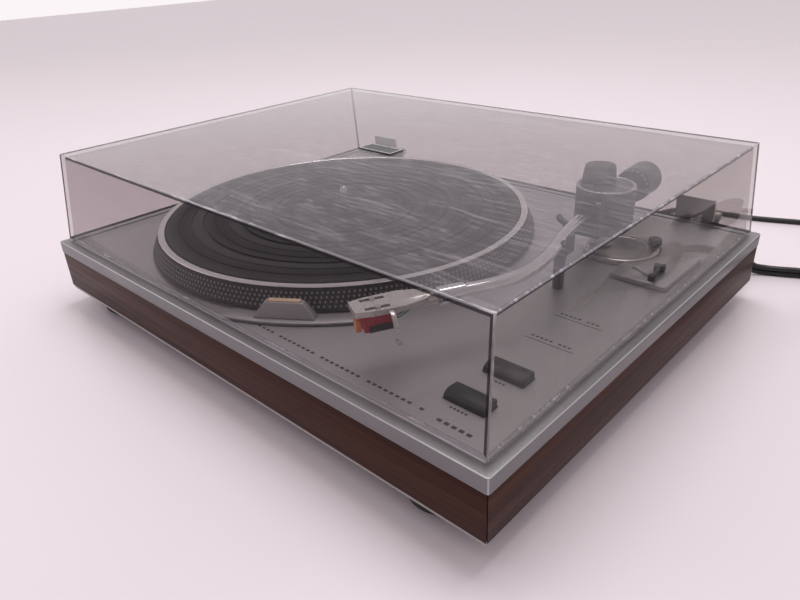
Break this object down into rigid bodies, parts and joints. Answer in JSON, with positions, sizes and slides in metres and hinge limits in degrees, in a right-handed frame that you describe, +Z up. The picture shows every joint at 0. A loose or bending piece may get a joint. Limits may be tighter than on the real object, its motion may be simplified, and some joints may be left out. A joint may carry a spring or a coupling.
{
  "type": "record player",
  "caption": "Turntable record player with walnut-grain case, silver deck, dotted platter edge, S-shaped tonearm and smoked hinged lid, with mains and audio leads.",
  "frame": {"origin": "middle of the footprint at floor level, hinges included and leads left out", "axes": "+X to the player's right, +Y to its back, +Z up"},
  "size_m": [0.6088, 0.5622, 0.1295],
  "materials": {
    "walnut": "printed walnut grain, satin",
    "silver": "brushed",
    "deck_silver": "fine satin",
    "steel": "light grey, satin",
    "chrome": "polished",
    "rubber": "matt",
    "black_plastic": "satin",
    "grey_plastic": "satin",
    "smoked_acrylic": "clear smoked, lightly scratched",
    "amber": "clear amber",
    "red_plastic": "gloss",
    "board_green": "solder-masked",
    "white_plastic": "satin",
    "cord_black": "satin"
  },
  "bodies": {
    "base": {"board_front": "walnut", "board_rear": "walnut", "board_left": "walnut", "board_right": "walnut", "trim_frame": "silver", "bottom_cover": "steel", "foot_front_left": "rubber", "foot_front_right": "rubber", "foot_rear_left": "rubber", "foot_rear_right": "rubber", "deck_plate": "deck_silver", "chassis_board": "black_plastic", "motor_stator": "steel", "transformer": "steel", "circuit_board": "board_green", "strobe_panel": "deck_silver", "strobe_housing": "grey_plastic", "strobe_window": "amber", "arm_base": "silver", "arm_pillar": "chrome", "cue_platform": "deck_silver", "arm_rest": "black_plastic", "hinge_bracket_left": "steel", "hinge_bracket_right": "steel", "hinge_pin_left": "chrome", "hinge_pin_right": "chrome", "mains_strain_relief": "cord_black", "audio_strain_relief": "cord_black", "mains_lead": "cord_black", "audio_lead": "cord_black", "mains_coil": "cord_black", "audio_coil": "cord_black", "mains_plug": "black_plastic", "phono_plug_white": "white_plastic", "phono_plug_red": "red_plastic"},
    "platter_unit": {"platter": "silver", "platter_mat": "rubber", "spindle": "chrome"},
    "lid_unit": {"lid": "smoked_acrylic", "badge": "black_plastic", "hinge_leaf_left": "silver", "hinge_leaf_right": "silver"},
    "arm_yoke": {"arm_housing": "grey_plastic", "pivot_cap": "silver"},
    "side_force_dial": {"side_force_knob": "grey_plastic"},
    "arm": {"pivot_block": "chrome", "arm_tube": "chrome", "headshell": "silver", "finger_lift": "silver", "cartridge": "red_plastic", "stylus_guard": "amber", "tail_shaft": "chrome"},
    "collar": {"locking_collar": "chrome"},
    "weight": {"counterweight": "grey_plastic", "force_ring": "black_plastic"},
    "lock_dial": {"arm_lock_knob": "black_plastic"},
    "cue_handle": {"cue_lever": "black_plastic"},
    "cue_bar": {"cue_lift": "black_plastic"},
    "start_button": {"start_stop_key": "black_plastic"},
    "speed_button": {"speed_key": "black_plastic"}
  },
  "joints": [
    {"name": "lid_hinge", "type": "hinge", "parent": "base", "child": "lid_unit", "pos_m": [0, 0.1755, 0.061], "axis": [-1, 0, 0], "range_deg": [0, 65]},
    {"name": "platter_spin", "type": "hinge", "parent": "base", "child": "platter_unit", "pos_m": [-0.052, -0.0077, 0.066], "axis": [0, 0, 1], "continuous": true},
    {"name": "arm_swing", "type": "hinge", "parent": "base", "child": "arm_yoke", "pos_m": [0.136, 0.0773, 0.0895], "axis": [0, 0, -1], "range_deg": [0, 47]},
    {"name": "arm_lift", "type": "hinge", "parent": "arm_yoke", "child": "arm", "pos_m": [0.136, 0.0773, 0.0895], "axis": [-0.9986, -0.0523, 0], "range_deg": [0, 6]},
    {"name": "counterweight_turn", "type": "hinge", "parent": "arm", "child": "weight", "pos_m": [0.13276, 0.13922, 0.0895], "axis": [-0.0523, 0.9986, 0], "range_deg": [-180, 180]},
    {"name": "collar_turn", "type": "hinge", "parent": "arm", "child": "collar", "pos_m": [0.13376, -0.10957, 0.0895], "axis": [0.4617, 0.887, 0], "range_deg": [0, 30]},
    {"name": "side_force_turn", "type": "hinge", "parent": "arm_yoke", "child": "side_force_dial", "pos_m": [0.1283, 0.0809, 0.106], "axis": [0, 0, 1], "range_deg": [0, 270]},
    {"name": "arm_lock_turn", "type": "hinge", "parent": "base", "child": "lock_dial", "pos_m": [0.169, 0.0973, 0.063], "axis": [0, 0, 1], "range_deg": [0, 90]},
    {"name": "cue_lever_turn", "type": "hinge", "parent": "base", "child": "cue_handle", "pos_m": [0.1915, 0.0543, 0.0623], "axis": [-0.9829, -0.184, 0], "range_deg": [0, 50]},
    {"name": "cue_lift_slide", "type": "slide", "parent": "base", "child": "cue_bar", "axis": [0, 0, 1], "range_m": [0, 0.0025]},
    {"name": "start_press", "type": "slide", "parent": "base", "child": "start_button", "axis": [0, 0, -1], "range_m": [0, 0.0025], "stiffness_N_per_m": 200, "springref_m": -0.001},
    {"name": "speed_press", "type": "slide", "parent": "base", "child": "speed_button", "axis": [0, 0, -1], "range_m": [0, 0.0025], "stiffness_N_per_m": 200, "springref_m": -0.001}
  ],
  "couplings": [
    {"joint": "cue_lever_turn", "follows": "cue_lift_slide", "rad_per_m": 349.06}
  ]
}
